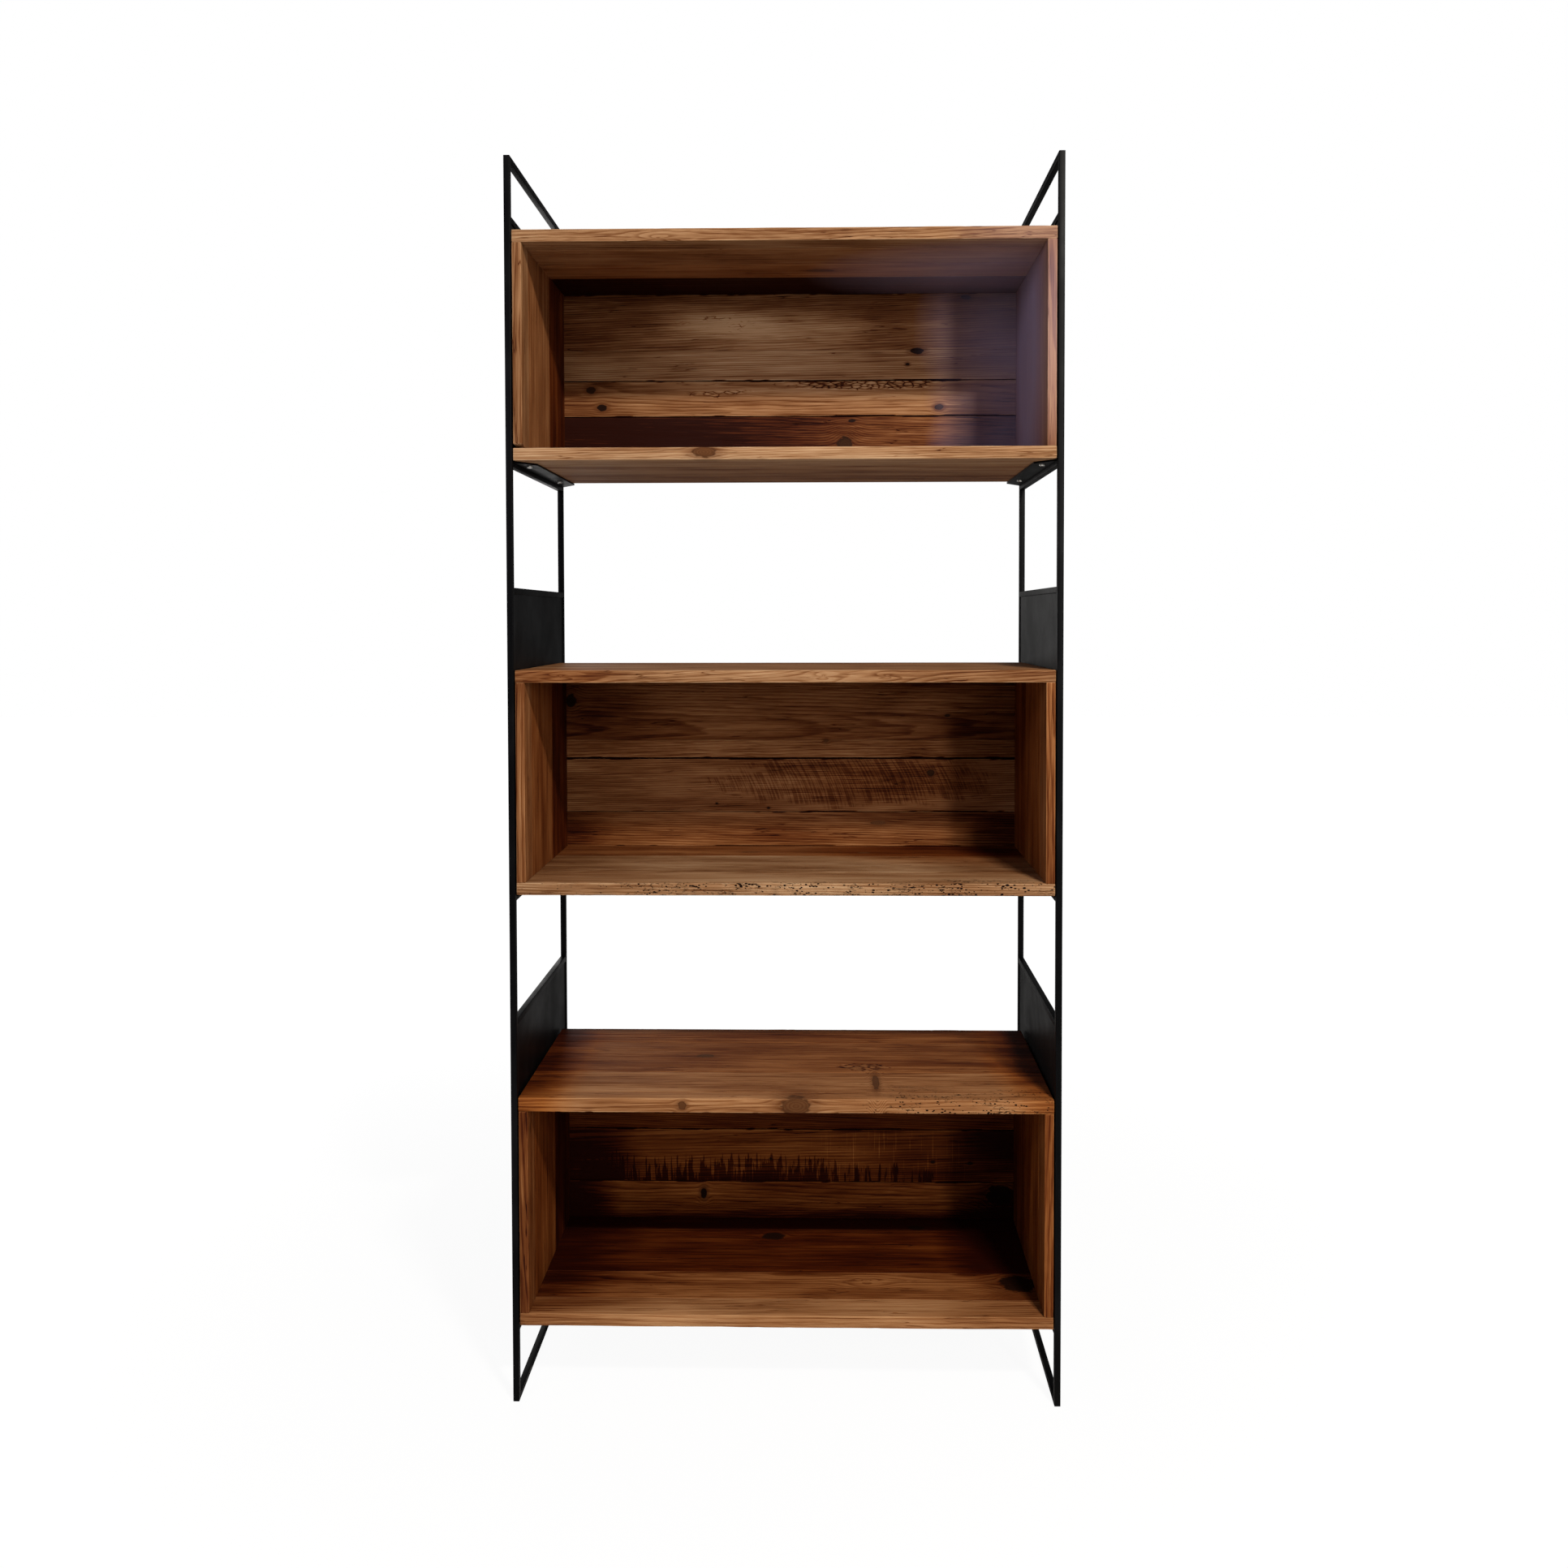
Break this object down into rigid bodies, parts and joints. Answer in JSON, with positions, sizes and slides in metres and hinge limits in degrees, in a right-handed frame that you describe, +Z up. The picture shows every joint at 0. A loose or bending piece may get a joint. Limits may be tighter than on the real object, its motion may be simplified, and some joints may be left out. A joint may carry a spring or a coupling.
{
  "type": "bookcase",
  "caption": "Tall open bookcase of reclaimed-wood box shelves screwed to slim black welded steel ladder frames, with open gaps between the boxes.",
  "frame": {"origin": "centre of the footprint, on the floor", "axes": "+Z up, +X to the right seen from the front, -Y out of the open front"},
  "size_m": [0.884, 0.4, 2],
  "materials": {
    "black_steel": "satin black powder coat",
    "shelf_wood": "oiled reclaimed softwood, worn edges",
    "side_wood": "oiled reclaimed softwood, vertical grain",
    "back_wood": "dark reclaimed planks with saw marks and knots",
    "screw_steel": "zinc-plated",
    "nail_steel": "dull, slightly rusted",
    "dowel_wood": "plain beech"
  },
  "bodies": {
    "root": {"left_front_post": "black_steel", "left_back_post": "black_steel", "left_top_rail": "black_steel", "left_bottom_rail": "black_steel", "right_front_post": "black_steel", "right_back_post": "black_steel", "right_top_rail": "black_steel", "right_bottom_rail": "black_steel", "left_lower_upper_rail": "black_steel", "left_lower_support_rail": "black_steel", "left_lower_side_sheet": "black_steel", "left_lower_flange": "black_steel", "left_middle_upper_rail": "black_steel", "left_middle_support_rail": "black_steel", "left_middle_side_sheet": "black_steel", "left_middle_flange": "black_steel", "left_top_upper_rail": "black_steel", "left_top_support_rail": "black_steel", "left_top_side_sheet": "black_steel", "left_top_flange": "black_steel", "right_lower_upper_rail": "black_steel", "right_lower_support_rail": "black_steel", "right_lower_side_sheet": "black_steel", "right_lower_flange": "black_steel", "right_middle_upper_rail": "black_steel", "right_middle_support_rail": "black_steel", "right_middle_side_sheet": "black_steel", "right_middle_flange": "black_steel", "right_top_upper_rail": "black_steel", "right_top_support_rail": "black_steel", "right_top_side_sheet": "black_steel", "right_top_flange": "black_steel", "lower_box_top_board": "shelf_wood", "lower_box_bottom_board": "shelf_wood", "lower_box_left_board": "side_wood", "lower_box_right_board": "side_wood", "lower_box_back_plank_1": "back_wood", "lower_box_back_plank_2": "back_wood", "lower_box_back_plank_3": "back_wood", "middle_box_top_board": "shelf_wood", "middle_box_bottom_board": "shelf_wood", "middle_box_left_board": "side_wood", "middle_box_right_board": "side_wood", "middle_box_back_plank_1": "back_wood", "middle_box_back_plank_2": "back_wood", "middle_box_back_plank_3": "back_wood", "top_box_top_board": "shelf_wood", "top_box_bottom_board": "shelf_wood", "top_box_left_board": "side_wood", "top_box_right_board": "side_wood", "top_box_back_plank_1": "back_wood", "top_box_back_plank_2": "back_wood", "top_box_back_plank_3": "back_wood", "flange_screws": "screw_steel", "back_nails": "nail_steel", "corner_dowels": "dowel_wood"}
  },
  "joints": []
}
